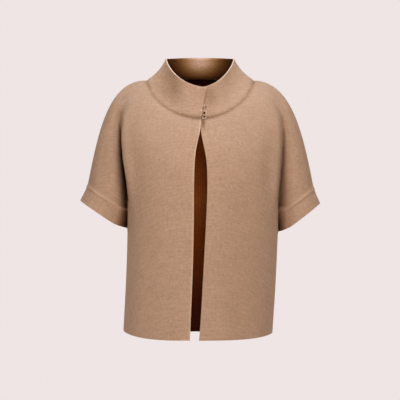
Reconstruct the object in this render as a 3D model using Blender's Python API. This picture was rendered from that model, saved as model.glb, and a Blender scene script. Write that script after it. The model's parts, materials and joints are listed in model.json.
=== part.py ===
"""A short knitted cape-jacket, worn open: wide elbow-length sleeves cut in one with the body, a
stand collar lapped right over left and held by one hook and eye, and banded cuffs.

The wearer faces -Y and their left arm is at +X. The origin is the centre of the neck, at the
height of the points where the collar meets the shoulders. Lengths are in metres.

One smooth skin is lofted from the neck seam out over the shoulders and down to the hem and the
cuffs. It is then parted along the seams into the pieces that are cut and sewn, and each piece
is given the thickness of the knit, towards the inside.
"""

import math
from collections import namedtuple

import bmesh
import bpy
from mathutils import Vector
from mathutils.bvhtree import BVHTree

# ---------------------------------------------------------------- driving sizes

WALL = 0.0024  # dense double-faced knit
SEAM_GAP = 0.0003  # between two pieces at a seam

NECK_HALF_WIDTH = 0.129
NECK_DEPTH_FRONT = 0.100
NECK_DEPTH_BACK = 0.082
NECK_DROP_FRONT = 0.098
NECK_RISE_BACK = 0.012

RIM_HALF_WIDTH = 0.0815
RIM_DEPTH_FRONT = 0.086
RIM_DEPTH_BACK = 0.072
RIM_Z_FRONT = -0.025
RIM_Z_SIDE = 0.0515
RIM_Z_BACK = 0.061
NECK_CURVE = 1.35  # power of the dip of the neck seam and of the rim towards the front
COLLAR_HOLLOW = 0.34  # 0 for a straight collar side, 1 for one that first runs flat
COLLAR_BEND = 0.66  # how far the two handles of its curve reach to the hollow

BODY_HALF_WIDTH = 0.1805
BODY_DEPTH_FRONT = 0.134
BODY_DEPTH_BACK = 0.122
BODY_SQUARENESS = 2.5  # 2 is an ellipse
SIDE_CROWDING = 1.15  # over 1, the columns stand closer towards the centre front and back
UNDERARM_Z = -0.302
HEM_Z_FRONT = -0.611
HEM_Z_BACK = -0.616
HEM_HALF_WIDTH = 0.1790
SKIRT_BLEND = 0.4  # share of the skirt over which the underarm's shape gives way to the body's
HEM_RISE_POWER = 4  # the hem rises to its sides only near them

SLEEVE_DEPTH = 0.101  # front to back, at the cuff seam
CUFF_DEPTH = 0.112  # front to back, at the cuff's edge
SLEEVE_TAIL = 0.055  # share of a sleeve column below the underarm
CUFF_RIDGE = 0.0013  # how far the linked seam at the top of the cuff stands out
RIDGE_SHARE = 0.06  # of the cuff's height, from its top to the crest of that seam

# Each sleeve's cuff seam and cuff edge, seen from the front: the outer and the inner end.
# Body_x is where the sleeve's underside meets the body, hem_z is the hem's height below it, and
# lift is by how many degrees that shoulder slopes less, on top, than the columns say.
Sleeve = namedtuple(
    "Sleeve",
    "side body_x hem_z lift seam_out_x seam_out_z seam_in_x seam_in_z "
    "edge_out_x edge_out_z edge_in_x edge_in_z",
)
SLEEVES = (
    Sleeve(-1, 0.174, -0.598, 3, 0.2700, -0.2530, 0.1800, -0.3150, 0.2880, -0.2880, 0.185, -0.356),
    Sleeve(1, 0.188, -0.603, 0, 0.2730, -0.2590, 0.1925, -0.3190, 0.2885, -0.2945, 0.197, -0.364),
)

# The lofted columns that steer the others, from the front edge round to the centre back. Each
# leaves the neck seam with a heading from straight ahead and a slope below level, and reaches
# the underarm line with a sideways and a backward lean. Out and down are its two handles.
Column = namedtuple("Column", "neck_angle heading slope out down lean_x lean_y")
COLUMNS = (
    Column(0, 0, 60, 0.055, 0.080, 0.00, 0.00),  # centre front
    Column(36, 62, 36, 0.085, 0.110, 0.00, 0.00),  # chest
    Column(68, 86, 7, 0.113, 0.130, -0.06, 0.22),  # front valley
    Column(80, 90, 4, 0.096, 0.140, 0.14, 0.00),  # front of the sleeve
    Column(90, 90, 2, 0.088, 0.147, 0.19, 0.00),  # overarm
    Column(100, 90, 4, 0.096, 0.140, 0.14, 0.00),  # back of the sleeve
    Column(112, 94, 8, 0.115, 0.130, -0.06, -0.20),  # back valley
    Column(144, 122, 22, 0.085, 0.120, 0.00, 0.00),  # shoulder blade
    Column(180, 180, 38, 0.060, 0.120, 0.00, 0.00),  # centre back
)
VALLEY_FRONT, OVERARM, VALLEY_BACK, CENTRE_BACK = 2, 4, 6, 8

# The two front edges, from the collar's rim down to the hem. Sink is how far the left edge lies
# behind the right one, where the ends lap.
Edge = namedtuple("Edge", "z right_x left_x sink")
EDGES = (
    Edge(-0.6114, -0.0229, -0.0023, 0.0000),
    Edge(-0.5680, -0.0215, 0.0014, 0.0000),
    Edge(-0.4370, -0.0162, 0.0087, 0.0000),
    Edge(-0.3270, -0.0141, 0.0145, 0.0000),
    Edge(-0.2616, -0.0141, 0.0168, 0.0000),
    Edge(-0.1963, -0.0118, 0.0150, 0.0006),
    Edge(-0.1607, -0.0070, 0.0085, 0.0020),
    Edge(-0.1263, 0.0014, 0.0020, 0.0045),
    Edge(-0.0980, 0.0028, 0.0030, 0.0068),
    Edge(-0.0800, 0.0056, 0.0030, 0.0066),
    Edge(-0.0600, 0.0092, -0.0020, 0.0055),
    Edge(-0.0250, 0.0170, -0.0040, 0.0038),
)
EDGE_REACH = 0.085  # how far from a front edge the knit gives way to its shape
SINK_REACH = 0.060

# The sway of the body's centre line, down the garment.
Sway = namedtuple("Sway", "z x")
SWAYS = (Sway(-0.611, -0.0055), Sway(-0.45, 0.0035), Sway(-0.302, 0.0070), Sway(-0.098, 0.0008))

# Soft troughs in the cloth. Each runs straight from its top to its bottom, as seen from the
# front; face is -1 for the front of the garment and 1 for its back.
Fold = namedtuple("Fold", "face top_x top_z bottom_x bottom_z width depth")
FOLD_FADE = 0.025  # a fold fades out this near to the side and overarm seams
FOLD_END = 0.7  # power under which a fold's depth runs out at its two ends
FOLDS = (
    Fold(-1, -0.196, -0.080, -0.180, -0.262, 0.012, 0.009),  # right valley
    Fold(-1, 0.198, -0.100, 0.190, -0.262, 0.014, 0.004),  # left valley
    Fold(-1, 0.168, -0.130, 0.156, -0.300, 0.016, 0.005),  # beside the left valley
    Fold(1, -0.168, -0.110, -0.150, -0.310, 0.018, 0.006),
    Fold(1, 0.172, -0.120, 0.160, -0.290, 0.016, 0.005),
    Fold(1, 0.050, -0.330, 0.062, -0.600, 0.030, 0.004),
)

WELD = 0.00002  # between the points of neighbouring patches of the skin
CORNER_COSINE = 0.7  # under it, two seams that meet in a point of a piece make a corner

# How many faces the skin has: round, between two steering columns, and down.
BODY_FACES = 6
SLEEVE_FACES = 5
YOKE_FACES = 12
SKIRT_FACES = 9
COLLAR_FACES = 5

# The hook and eye. The eye lies on the left end of the collar. The hook is under the right end.
WIRE = 0.0011
SEW_RING_RADIUS = 0.0021  # of the small rings that it is sewn down by
EYE_X = 0.0100
EYE_Z = -0.0897
EYE_SPREAD = 0.0050  # between the two legs of the eye
EYE_REACH = 0.0138  # from the sewing rings to the bar
HOOK_X = -0.0115
HOOK_SPREAD = 0.0016
HOOK_TURN_X = -0.0002  # where the hook turns back round the bar
HOOK_BILL = 0.0050  # how far it runs back
WIRE_STEP = WIRE + SEAM_GAP  # from one layer of wire to the next
CLOTH_CURVE = 0.0003  # what the flat eye stands off the curved cloth at its middle

KNIT_COLOUR = (0.45, 0.27, 0.15, 1.0)
METAL_COLOUR = (0.62, 0.48, 0.36, 1.0)


# ---------------------------------------------------------------- small helpers


def mix(a, b, share):
    return a + (b - a) * share


def ease(share):
    """0 to 1 with level ends."""
    share = min(max(share, 0.0), 1.0)
    return share * share * (3 - 2 * share)


def through(keys, values, key):
    """A smooth curve through values that belong to rising keys."""
    last = len(keys) - 1
    key = min(max(key, keys[0]), keys[last])
    i = next(n for n in range(last) if key <= keys[n + 1])

    def slope(n):
        low, high = max(n - 1, 0), min(n + 1, last)
        return (values[high] - values[low]) / (keys[high] - keys[low])

    span = keys[i + 1] - keys[i]
    t = (key - keys[i]) / span
    start = (1 + 2 * t) * (1 - t) ** 2 * values[i] + t * (1 - t) ** 2 * span * slope(i)
    end = t * t * (3 - 2 * t) * values[i + 1] - t * t * (1 - t) * span * slope(i + 1)
    return start + end


def from_table(rows, field, key, by=None):
    keys = [getattr(row, by) for row in rows] if by else list(range(len(rows)))
    return through(keys, [getattr(row, field) for row in rows], key)


def power(value, exponent):
    """A power that keeps the sign of its base."""
    return math.copysign(abs(value) ** exponent, value)


def bezier(start, leave, arrive, end, t):
    s = 1 - t
    return s**3 * start + 3 * s * s * t * leave + 3 * s * t * t * arrive + t**3 * end


# ---------------------------------------------------------------- the skin of the garment


def ring(angle, half_width, front, back, side):
    """A level oval round the neck: 0 degrees is the centre front, 180 the centre back."""
    depth = front if angle < 90 else back
    across = math.sin(math.radians(angle))
    return Vector((side * half_width * across, -depth * math.cos(math.radians(angle)), 0))


def dip(angle, z_front, z_side, z_back):
    """The height of a neck ring: it dips to the front and rises a little to the back."""
    toward = math.cos(math.radians(angle))
    end = z_front if toward > 0 else z_back
    return mix(z_side, end, abs(toward) ** NECK_CURVE)


def neck_point(side, angle):
    point = ring(angle, NECK_HALF_WIDTH, NECK_DEPTH_FRONT, NECK_DEPTH_BACK, side)
    point.z = dip(angle, -NECK_DROP_FRONT, 0, NECK_RISE_BACK)
    point.x += SWAYS[-1].x
    return point


def rim_point(side, angle):
    point = ring(angle, RIM_HALF_WIDTH, RIM_DEPTH_FRONT, RIM_DEPTH_BACK, side)
    point.z = dip(angle, RIM_Z_FRONT, RIM_Z_SIDE, RIM_Z_BACK)
    return point


def body_ring(side, u, z, half_width):
    """A level section of the body. u is 0 at the centre front, 2 or 6 at the side, 8 behind."""
    front = u <= VALLEY_FRONT
    share = u / VALLEY_FRONT if front else (CENTRE_BACK - u) / (CENTRE_BACK - VALLEY_BACK)
    turn = math.radians(90 * share**SIDE_CROWDING)
    across = power(math.sin(turn), 2 / BODY_SQUARENESS)
    away = power(max(math.cos(turn), 0), 2 / BODY_SQUARENESS)
    depth = -BODY_DEPTH_FRONT if front else BODY_DEPTH_BACK
    centre = from_table(SWAYS, "x", z, by="z")
    return Vector((centre + side * half_width * across, depth * away, z))


def sleeve_ring(sleeve, u, share):
    """The sleeve's end, u from 2 under the arm over 4 on top to 6. share: 0 seam, 1 edge."""
    turn = math.radians(90 * (OVERARM - u))
    out = Vector((mix(sleeve.seam_out_x, sleeve.edge_out_x, share), 0,
                  mix(sleeve.seam_out_z, sleeve.edge_out_z, share)))
    inner = Vector((mix(sleeve.seam_in_x, sleeve.edge_in_x, share), 0,
                    mix(sleeve.seam_in_z, sleeve.edge_in_z, share)))
    centre = (out + inner) / 2
    depth = mix(SLEEVE_DEPTH, CUFF_DEPTH, share) / 2
    point = centre + (out - inner) / 2 * math.cos(turn) + Vector((0, -depth * math.sin(turn), 0))
    point.x *= sleeve.side
    return point


def underarm_point(sleeve):
    return Vector((sleeve.side * sleeve.body_x, 0, UNDERARM_Z))


def loft(sleeve, u, t, end):
    """A point of one column, from the neck seam at t = 0 to its end at t = 1."""
    heading = math.radians(from_table(COLUMNS, "heading", u))
    lift = sleeve.lift * (1 - abs(u - OVERARM) / OVERARM)
    slope = math.radians(from_table(COLUMNS, "slope", u) - lift)
    away = Vector((
        sleeve.side * math.sin(heading) * math.cos(slope),
        -math.cos(heading) * math.cos(slope),
        -math.sin(slope),
    ))
    hang = Vector((
        sleeve.side * from_table(COLUMNS, "lean_x", u),
        from_table(COLUMNS, "lean_y", u),
        -1,
    )).normalized()
    start = neck_point(sleeve.side, from_table(COLUMNS, "neck_angle", u))
    leave = start + away * from_table(COLUMNS, "out", u)
    arrive = end - hang * from_table(COLUMNS, "down", u)
    return bezier(start, leave, arrive, end, t)


def under_side(sleeve, u):
    """Where a body column crosses the underarm line."""
    point = body_ring(sleeve.side, u, UNDERARM_Z, BODY_HALF_WIDTH)
    if u in (VALLEY_FRONT, VALLEY_BACK):
        return underarm_point(sleeve)
    centre = from_table(SWAYS, "x", UNDERARM_Z, by="z")
    point.x = centre + (point.x - centre) * (sleeve.body_x - sleeve.side * centre) / BODY_HALF_WIDTH
    return point


def yoke_point(sleeve, u, share):
    return loft(sleeve, u, share, under_side(sleeve, u))


def sleeve_point(sleeve, u, share):
    """share runs over 0 to 1 down to the underarm line, and on to 1 + a face at the cuff seam."""
    if u in (VALLEY_FRONT, VALLEY_BACK):
        if share <= 1:
            return yoke_point(sleeve, u, share)
        return underarm_point(sleeve).lerp(sleeve_ring(sleeve, u, 0), (share - 1) * YOKE_FACES)
    if share <= 1:
        t = share * (1 - SLEEVE_TAIL)
    else:
        t = 1 - SLEEVE_TAIL + (share - 1) * YOKE_FACES * SLEEVE_TAIL
    return loft(sleeve, u, t, sleeve_ring(sleeve, u, 0))


def skirt_point(sleeve, u, share):
    """The body below the underarm, down to the hem."""
    top = under_side(sleeve, u)
    side_share = min(abs(top.x) / sleeve.body_x, 1)
    hem = HEM_Z_FRONT if u <= VALLEY_FRONT else HEM_Z_BACK
    hem = mix(hem, sleeve.hem_z, side_share**HEM_RISE_POWER)
    z = mix(UNDERARM_Z, hem, share)
    low = body_ring(sleeve.side, u, z, mix(BODY_HALF_WIDTH, HEM_HALF_WIDTH, share))
    shift = top - body_ring(sleeve.side, u, UNDERARM_Z, BODY_HALF_WIDTH)
    return low + shift * (1 - ease(share / SKIRT_BLEND))


def collar_point(sleeve, u, share):
    angle = from_table(COLUMNS, "neck_angle", u)
    foot = neck_point(sleeve.side, angle)
    rim = rim_point(sleeve.side, angle)
    waist = Vector((mix(foot.x, rim.x, 0.5 + COLLAR_HOLLOW / 2),
                    mix(foot.y, rim.y, 0.5 + COLLAR_HOLLOW / 2),
                    mix(foot.z, rim.z, 0.5 - COLLAR_HOLLOW / 2)))
    return bezier(foot, foot.lerp(waist, COLLAR_BEND), rim.lerp(waist, COLLAR_BEND), rim, share)


def cuff_point(sleeve, u, share):
    point = sleeve_ring(sleeve, u, share)
    centre = (sleeve_ring(sleeve, OVERARM, share) + sleeve_ring(sleeve, VALLEY_FRONT, share)) / 2
    ridge = CUFF_RIDGE * max(0, 1 - abs(share / RIDGE_SHARE - 1))
    return point + (point - centre).normalized() * ridge


def shaped(sleeve, u, point):
    """Adds what shapes the cloth beyond the loft: the front edges, the lap and the folds."""
    if u < VALLEY_FRONT:
        centre = from_table(SWAYS, "x", point.z, by="z") if point.z < SWAYS[-1].z else SWAYS[-1].x
        edge = from_table(EDGES, "left_x" if sleeve.side > 0 else "right_x", point.z, by="z")
        off = abs(point.x - centre)
        point.x += (edge - centre) * (1 - ease(off / EDGE_REACH))
        if sleeve.side > 0:
            sink = from_table(EDGES, "sink", point.z, by="z")
            point.y += sink * (1 - ease(off / SINK_REACH))
    face = -1 if u < OVERARM else 1
    for fold in FOLDS:
        if fold.face != face:
            continue
        down = (fold.top_z - point.z) / (fold.top_z - fold.bottom_z)
        if not 0 < down < 1:
            continue
        off = (point.x - mix(fold.top_x, fold.bottom_x, down)) / fold.width
        depth = fold.depth * math.sin(math.pi * down) ** FOLD_END * math.exp(-off * off)
        point.y -= face * depth * ease(abs(point.y) / FOLD_FADE)
    return point


# ---------------------------------------------------------------- from the skin to the pieces

PIECES = ("back", "right_front", "left_front", "collar", "right_cuff", "left_cuff")


def lay_patch(skin, tag, piece, sleeve, columns, rows, point_of):
    """Lays a grid over a stretch of the skin and marks it as part of a piece."""
    first, last, across = columns
    top, bottom, down = rows
    patch = bmesh.ops.create_grid(skin, x_segments=across, y_segments=down, size=0.5)
    for vert in patch["verts"]:
        u = mix(first, last, round((vert.co.x + 0.5) * across) / across)
        share = mix(top, bottom, round((vert.co.y + 0.5) * down) / down)
        vert.co = shaped(sleeve, u, point_of(sleeve, u, share))
    for face in {face for vert in patch["verts"] for face in vert.link_faces}:
        face[tag] = PIECES.index(piece)


def make_skin():
    skin = bmesh.new()
    tag = skin.faces.layers.int.new("piece")
    for sleeve in SLEEVES:
        name = "left" if sleeve.side > 0 else "right"
        tail = 1 + 1 / YOKE_FACES
        for front, piece in ((True, name + "_front"), (False, "back")):
            valley = VALLEY_FRONT if front else VALLEY_BACK
            centre = 0 if front else CENTRE_BACK
            body = (centre, valley, 2 * BODY_FACES)
            arm = (valley, OVERARM, 2 * SLEEVE_FACES)
            lay_patch(skin, tag, piece, sleeve, body, (0, 1, YOKE_FACES), yoke_point)
            lay_patch(skin, tag, piece, sleeve, body, (0, 1, SKIRT_FACES), skirt_point)
            lay_patch(skin, tag, piece, sleeve, arm, (0, tail, YOKE_FACES + 1), sleeve_point)
            for rows in ((0, RIDGE_SHARE, 1), (RIDGE_SHARE, 2 * RIDGE_SHARE, 1), (2 * RIDGE_SHARE, 1, 2)):
                lay_patch(skin, tag, name + "_cuff", sleeve, arm, rows, cuff_point)
            for columns in (body, arm):
                lay_patch(skin, tag, "collar", sleeve, columns, (0, 1, COLLAR_FACES), collar_point)
    bmesh.ops.remove_doubles(skin, verts=skin.verts, dist=WELD)
    bmesh.ops.recalc_face_normals(skin, faces=skin.faces)
    outward = sum(face.normal.dot(face.calc_center_median().normalized()) for face in skin.faces)
    if outward < 0:
        bmesh.ops.reverse_faces(skin, faces=skin.faces)
    skin.normal_update()
    skin.verts.index_update()
    return skin


def skin_normals(skin):
    """The skin's outward directions. Those round an underarm point cancel out: it faces down."""
    normals = [vert.normal.copy() for vert in skin.verts]
    for sleeve in SLEEVES:
        nearest = min(skin.verts, key=lambda vert: (vert.co - underarm_point(sleeve)).length)
        normals[nearest.index] = Vector((0, 0, -1))
    return normals


def draw_back(vert, normal):
    """Half the seam gap, along the cloth and away from its edge; at a corner, from both edges."""
    ends = [edge.other_vert(vert).co - vert.co for edge in vert.link_edges if edge.is_boundary]
    first, second = (end.normalized() for end in ends)
    if abs(first.dot(second)) < CORNER_COSINE:
        return (first + second) * SEAM_GAP / 2
    inward = sum((face.calc_center_median() - vert.co for face in vert.link_faces), Vector())
    line = (first - second).normalized()
    inward -= normal * inward.dot(normal) + line * inward.dot(line)
    return inward.normalized() * SEAM_GAP / 2


def part_from(skin, normals, piece):
    """A copy of one piece of the skin, drawn back from its seams and given its thickness."""
    cloth = skin.copy()
    tag = cloth.faces.layers.int["piece"]
    index = PIECES.index(piece)
    seams = {
        vert.index for vert in cloth.verts if len({face[tag] for face in vert.link_faces}) > 1
    }
    others = [face for face in cloth.faces if face[tag] != index]
    mark = cloth.verts.layers.int.new("number")
    for vert in cloth.verts:
        vert[mark] = vert.index
    bmesh.ops.delete(cloth, geom=others, context="FACES")
    moves = {
        vert: draw_back(vert, normals[vert[mark]])
        for vert in cloth.verts
        if vert[mark] in seams and vert.is_boundary
    }
    for vert, move in moves.items():
        vert.co += move
    grown = bmesh.ops.extrude_face_region(cloth, geom=cloth.faces[:])["geom"]
    for vert in grown:
        if isinstance(vert, bmesh.types.BMVert):
            vert.co -= normals[vert[mark]] * WALL
    bmesh.ops.recalc_face_normals(cloth, faces=cloth.faces)
    return cloth


# ---------------------------------------------------------------- the hook and eye


def arc(centre, radius, start, sweep, steps):
    """Points round a flat arc, in degrees."""
    turns = [math.radians(start + sweep * step / steps) for step in range(steps + 1)]
    return [(centre[0] + radius * math.cos(t), centre[1] + radius * math.sin(t)) for t in turns]


def eye_path():
    """Ring, leg, bar, leg and ring, as across, up and out from the cloth."""
    half = EYE_SPREAD / 2
    top = arc((0, half + SEW_RING_RADIUS), SEW_RING_RADIUS, 180, -270, 12)
    bar = arc((half - EYE_REACH, 0), half, 90, 180, 8)
    low = arc((0, -half - SEW_RING_RADIUS), SEW_RING_RADIUS, 90, -270, 12)
    level = SEAM_GAP + WIRE / 2
    return [(across, up, level) for across, up in top + bar + low]


def hook_path():
    """Ring, shank, the turn round the bar, the bill, and the same way back beside it."""
    half = HOOK_SPREAD / 2
    shank = SEAM_GAP + WIRE / 2 + WIRE_STEP
    start = HOOK_X - EYE_X
    turn_x = HOOK_TURN_X - EYE_X
    bend = [(turn_x + across, shank - WIRE_STEP + level)
            for across, level in arc((0, 0), WIRE_STEP, 90, -180, 8)]
    end_x = turn_x - HOOK_BILL
    bill = shank - 2 * WIRE_STEP
    top = arc((start, half + SEW_RING_RADIUS), SEW_RING_RADIUS, 0, 270, 12)
    low = arc((start, -half - SEW_RING_RADIUS), SEW_RING_RADIUS, 90, 270, 12)
    path = [(across, up, shank) for across, up in top]
    path += [(across, half, level) for across, level in bend]
    path += [(across, up, bill) for across, up in arc((end_x, 0), half, 90, 180, 8)]
    path += [(across, -half, level) for across, level in reversed(bend)]
    return path + [(across, up, shank) for across, up in low]


def wire_object(name, path, origin, across, up, out, finish):
    curve = bpy.data.curves.new(name, "CURVE")
    curve.dimensions = "3D"
    curve.bevel_depth = WIRE / 2
    curve.bevel_resolution = 2
    curve.use_fill_caps = True
    spline = curve.splines.new("POLY")
    spline.points.add(len(path) - 1)
    for point, (x, y, level) in zip(spline.points, path):
        place = origin + across * x + up * y + out * level
        point.co = (*place, 1)
    curve.materials.append(finish)
    made = bpy.data.objects.new(name, curve)
    bpy.context.scene.collection.objects.link(made)


def add_fastener(skin):
    """Lays the eye on the left end of the collar, square to the cloth, and hooks the hook in it."""
    below = BVHTree.FromBMesh(skin)
    place, out, _, _ = below.ray_cast(Vector((EYE_X, -1, EYE_Z)), Vector((0, 1, 0)))
    out.x = 0
    out = out.normalized() * -math.copysign(1, out.y)
    across = Vector((1, 0, 0))
    up = out.cross(across)
    place += out * CLOTH_CURVE
    finish = material("fastener_metal", METAL_COLOUR, 0.35, 0.9)
    wire_object("eye", eye_path(), place, across, up, out, finish)
    wire_object("hook", hook_path(), place, across, up, out, finish)


# ---------------------------------------------------------------- objects


def material(name, colour, roughness, metallic=0.0):
    made = bpy.data.materials.new(name)
    made.use_nodes = True
    shader = made.node_tree.nodes["Principled BSDF"]
    shader.inputs["Base Color"].default_value = colour
    shader.inputs["Roughness"].default_value = roughness
    shader.inputs["Metallic"].default_value = metallic
    return made


def add_object(name, shape, finish):
    mesh = bpy.data.meshes.new(name)
    shape.to_mesh(mesh)
    shape.free()
    mesh.shade_smooth()
    mesh.set_sharp_from_angle(angle=math.radians(40))
    mesh.materials.append(finish)
    made = bpy.data.objects.new(name, mesh)
    bpy.context.scene.collection.objects.link(made)
    return made


for old in list(bpy.data.objects):
    bpy.data.objects.remove(old)

garment_skin = make_skin()
garment_normals = skin_normals(garment_skin)
for piece_name in PIECES:
    add_object(
        piece_name,
        part_from(garment_skin, garment_normals, piece_name),
        material(piece_name + "_knit", KNIT_COLOUR, 0.9),
    )
add_fastener(garment_skin)
garment_skin.free()
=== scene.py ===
# %% [markdown]
# # A knitted cape-jacket, worn open
# This lesson dresses the plain solids of a short knitted cape in their real cloth: a dense,
# fulled double knit in camel, with wide sleeves cut in one with the body, a lapped stand
# collar held by a small hook and eye, and banded cuffs. The solids give every size. The
# lesson adds rounded cloth, the creases of a worn garment, the linked seams, the knit and
# the sewing of the fastener.
# Lengths are in metres, the wearer faces -Y, and their left arm is at +X.

# %% Load the frame
import json
import math
from collections import namedtuple

import bmesh
import bpy
import numpy as np
from mathutils import Matrix, Vector
from mathutils.bvhtree import BVHTree
from mathutils.kdtree import KDTree

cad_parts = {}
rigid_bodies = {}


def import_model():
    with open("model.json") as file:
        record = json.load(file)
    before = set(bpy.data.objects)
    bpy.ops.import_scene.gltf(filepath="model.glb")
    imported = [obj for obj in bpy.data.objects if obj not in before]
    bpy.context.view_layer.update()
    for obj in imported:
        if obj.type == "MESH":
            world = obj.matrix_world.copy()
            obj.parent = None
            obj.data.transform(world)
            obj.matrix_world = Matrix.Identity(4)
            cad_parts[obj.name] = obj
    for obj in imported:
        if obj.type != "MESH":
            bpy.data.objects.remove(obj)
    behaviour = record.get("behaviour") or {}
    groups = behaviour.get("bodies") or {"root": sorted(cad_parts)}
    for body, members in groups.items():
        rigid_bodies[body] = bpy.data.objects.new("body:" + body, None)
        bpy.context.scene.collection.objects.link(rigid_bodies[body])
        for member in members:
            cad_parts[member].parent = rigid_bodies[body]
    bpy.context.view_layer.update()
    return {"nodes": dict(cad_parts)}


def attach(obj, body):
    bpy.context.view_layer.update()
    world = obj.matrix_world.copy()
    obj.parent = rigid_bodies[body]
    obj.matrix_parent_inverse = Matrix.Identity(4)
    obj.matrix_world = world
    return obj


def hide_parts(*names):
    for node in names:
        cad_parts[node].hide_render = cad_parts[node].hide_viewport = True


for old in list(bpy.data.objects):
    bpy.data.objects.remove(old)

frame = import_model()
scene = bpy.context.scene
print("solids:", sorted(frame["nodes"]))

# %% [markdown]
# ## Camera
# The picture was taken straight on, at about the height of the elbows, from some three
# metres away, so that the sleeves and the hem hardly spread. A long lens on a level camera
# gives that. The sensor is Blender's usual 36 mm, and the lens follows from the width of
# the view at the wearer's distance.

# %% Set up the camera
CAMERA_DISTANCE = 3.04
CAMERA_HEIGHT = -0.288
VIEW_WIDTH = 0.96  # how much shows across, at the garment
SENSOR = 36.0  # millimetres

camera = bpy.data.objects.new("camera", bpy.data.cameras.new("camera"))
scene.collection.objects.link(camera)
camera.data.sensor_width = SENSOR
camera.data.lens = SENSOR * CAMERA_DISTANCE / VIEW_WIDTH
camera.location = (0, -CAMERA_DISTANCE, CAMERA_HEIGHT)
camera.rotation_euler = (math.radians(90), 0, 0)
scene.camera = camera
print("lens:", round(camera.data.lens, 1), "mm")

# %% [markdown]
# ## Small tools
# A few little curves shape everything that follows. `mix` goes from one value to another,
# `ease` goes from 0 to 1 with level ends, and `bump` is a soft hill, one high at its
# middle. `column` reads one column of a table of sizes at any height. They take numpy
# arrays, so that one call shapes all the points of a piece. The other helpers read and
# write a mesh's points, and keep a number for each point in an attribute, by which a
# material can find it again.

# %% Define the curves


def mix(a, b, share):
    return a + (b - a) * share


def ease(share):
    share = np.clip(share, 0, 1)
    return share * share * (3 - 2 * share)


def bump(distance, width):
    return np.exp(-((distance / width) ** 2))


def column(rows, field, z):
    """One field of a table at these heights. The rows run downwards, by their field z."""
    return np.interp(-z, [-row.z for row in rows], [getattr(row, field) for row in rows])


def points_of(mesh):
    flat = np.empty(len(mesh.vertices) * 3)
    mesh.vertices.foreach_get("co", flat)
    return flat.reshape(-1, 3)


def normals_of(mesh):
    flat = np.empty(len(mesh.vertices) * 3)
    mesh.vertices.foreach_get("normal", flat)
    return flat.reshape(-1, 3)


def put_points(mesh, points):
    mesh.vertices.foreach_set("co", points.ravel())
    mesh.update()


def keep(mesh, name, values):
    """Stores one number for each point, in an attribute that materials can read."""
    mesh.attributes.new(name, "FLOAT", "POINT").data.foreach_set("value", values)


def new_piece(name, mesh):
    piece = bpy.data.objects.new(name, mesh)
    scene.collection.objects.link(piece)
    return piece


# %% [markdown]
# ## Cloth from a solid
# Each solid is a wall of knit made of triangles, some 20 mm across. Only its outer side is
# kept, because the wall gets its thickness back at the end, from a Solidify modifier. The
# sharp edges of the wall part it into regions. The two largest are its outer and its inner
# side, and the outer one lies further out. Its triangles are joined in pairs into
# four-sided faces, which subdivide evenly: first the pairs that lie nearly flat, and then
# those that bend more.

# %% Take the outer side of a solid
WELD = 0.00002
SHARP = math.radians(60)  # a steeper edge parts two sides of a wall
CORNER = math.radians(35)  # a border that turns by more has a corner
PAIRINGS = (40, 55)  # the steepest edge that each pass removes, in degrees
MOST_SKEW = math.radians(80)  # a pair that would make a more slanting face is left alone
KEEP_GRID = 1.2  # how much a pair counts that carries on the rows of its neighbours


def join_pairs(cloth, steepest):
    bmesh.ops.join_triangles(
        cloth,
        faces=[face for face in cloth.faces if len(face.verts) == 3],
        angle_face_threshold=math.radians(steepest),
        angle_shape_threshold=MOST_SKEW,
        topology_influence=KEEP_GRID,
    )


def flood(start):
    """The faces that can be reached from one face without crossing a sharp edge."""
    found = {start}
    waiting = [start]
    while waiting:
        for edge in waiting.pop().edges:
            for face in edge.link_faces:
                if face not in found and edge.calc_face_angle(0) <= SHARP:
                    found.add(face)
                    waiting.append(face)
    return found


def sharpen_corners(cloth):
    """Subdivision Surface rounds a sheet's corners, such as the hem's, unless they're creased."""
    crease = cloth.verts.layers.float.new("crease_vert")
    for vert in cloth.verts:
        ends = [edge.other_vert(vert).co - vert.co for edge in vert.link_edges if edge.is_boundary]
        if len(ends) == 2 and ends[0].angle(-ends[1]) > CORNER:
            vert[crease] = 1.0


def outer_sheet(node, outermost):
    cloth = bmesh.new()
    cloth.from_mesh(frame["nodes"][node].data)
    bmesh.ops.remove_doubles(cloth, verts=cloth.verts, dist=WELD)
    for steepest in PAIRINGS:
        join_pairs(cloth, steepest)
    regions = []
    left = set(cloth.faces)
    while left:
        regions.append(flood(next(iter(left))))
        left -= regions[-1]
    sides = sorted(regions, key=len)[-2:]
    outer = max(sides, key=lambda side: np.mean([outermost(f.calc_center_median()) for f in side]))
    others = [face for face in cloth.faces if face not in outer]
    bmesh.ops.delete(cloth, geom=others, context="FACES")
    sharpen_corners(cloth)
    threes = sum(len(face.verts) == 3 for face in cloth.faces)
    print(node, "outer faces:", len(cloth.faces), "of them triangles:", threes)
    return cloth


# %% [markdown]
# ### The rows of the knit
# Knitted cloth has a direction. Its rows run across the body and round the neck and the
# arms, and its columns of stitches run up. The place of each point along the rows and up
# the columns is worked out while the sheet is still coarse, and kept in an attribute that
# Subdivision Surface carries along. The material draws the stitches by it, so that they
# follow the cloth and not the room.

# %% Place the points in the knit
HALF_DEPTH = 0.134
MIDDLE_BLEND = 0.06  # this near to a panel's middle the rows turn over gently
SAME_COLUMN = 0.08  # in radians round the ring


def place_body_rows(cloth):
    """From the middle the rows run out to the side, and then round to the side seam."""
    rows = cloth.verts.layers.float_vector.new("rows")
    middle = np.mean([vert.co.x for vert in cloth.verts])
    for vert in cloth.verts:
        x, y, z = vert.co
        side = float(np.clip((x + middle) / MIDDLE_BLEND, -1, 1))
        vert[rows] = (x + side * (HALF_DEPTH - abs(y)), abs(y) - z, 0)


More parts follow.
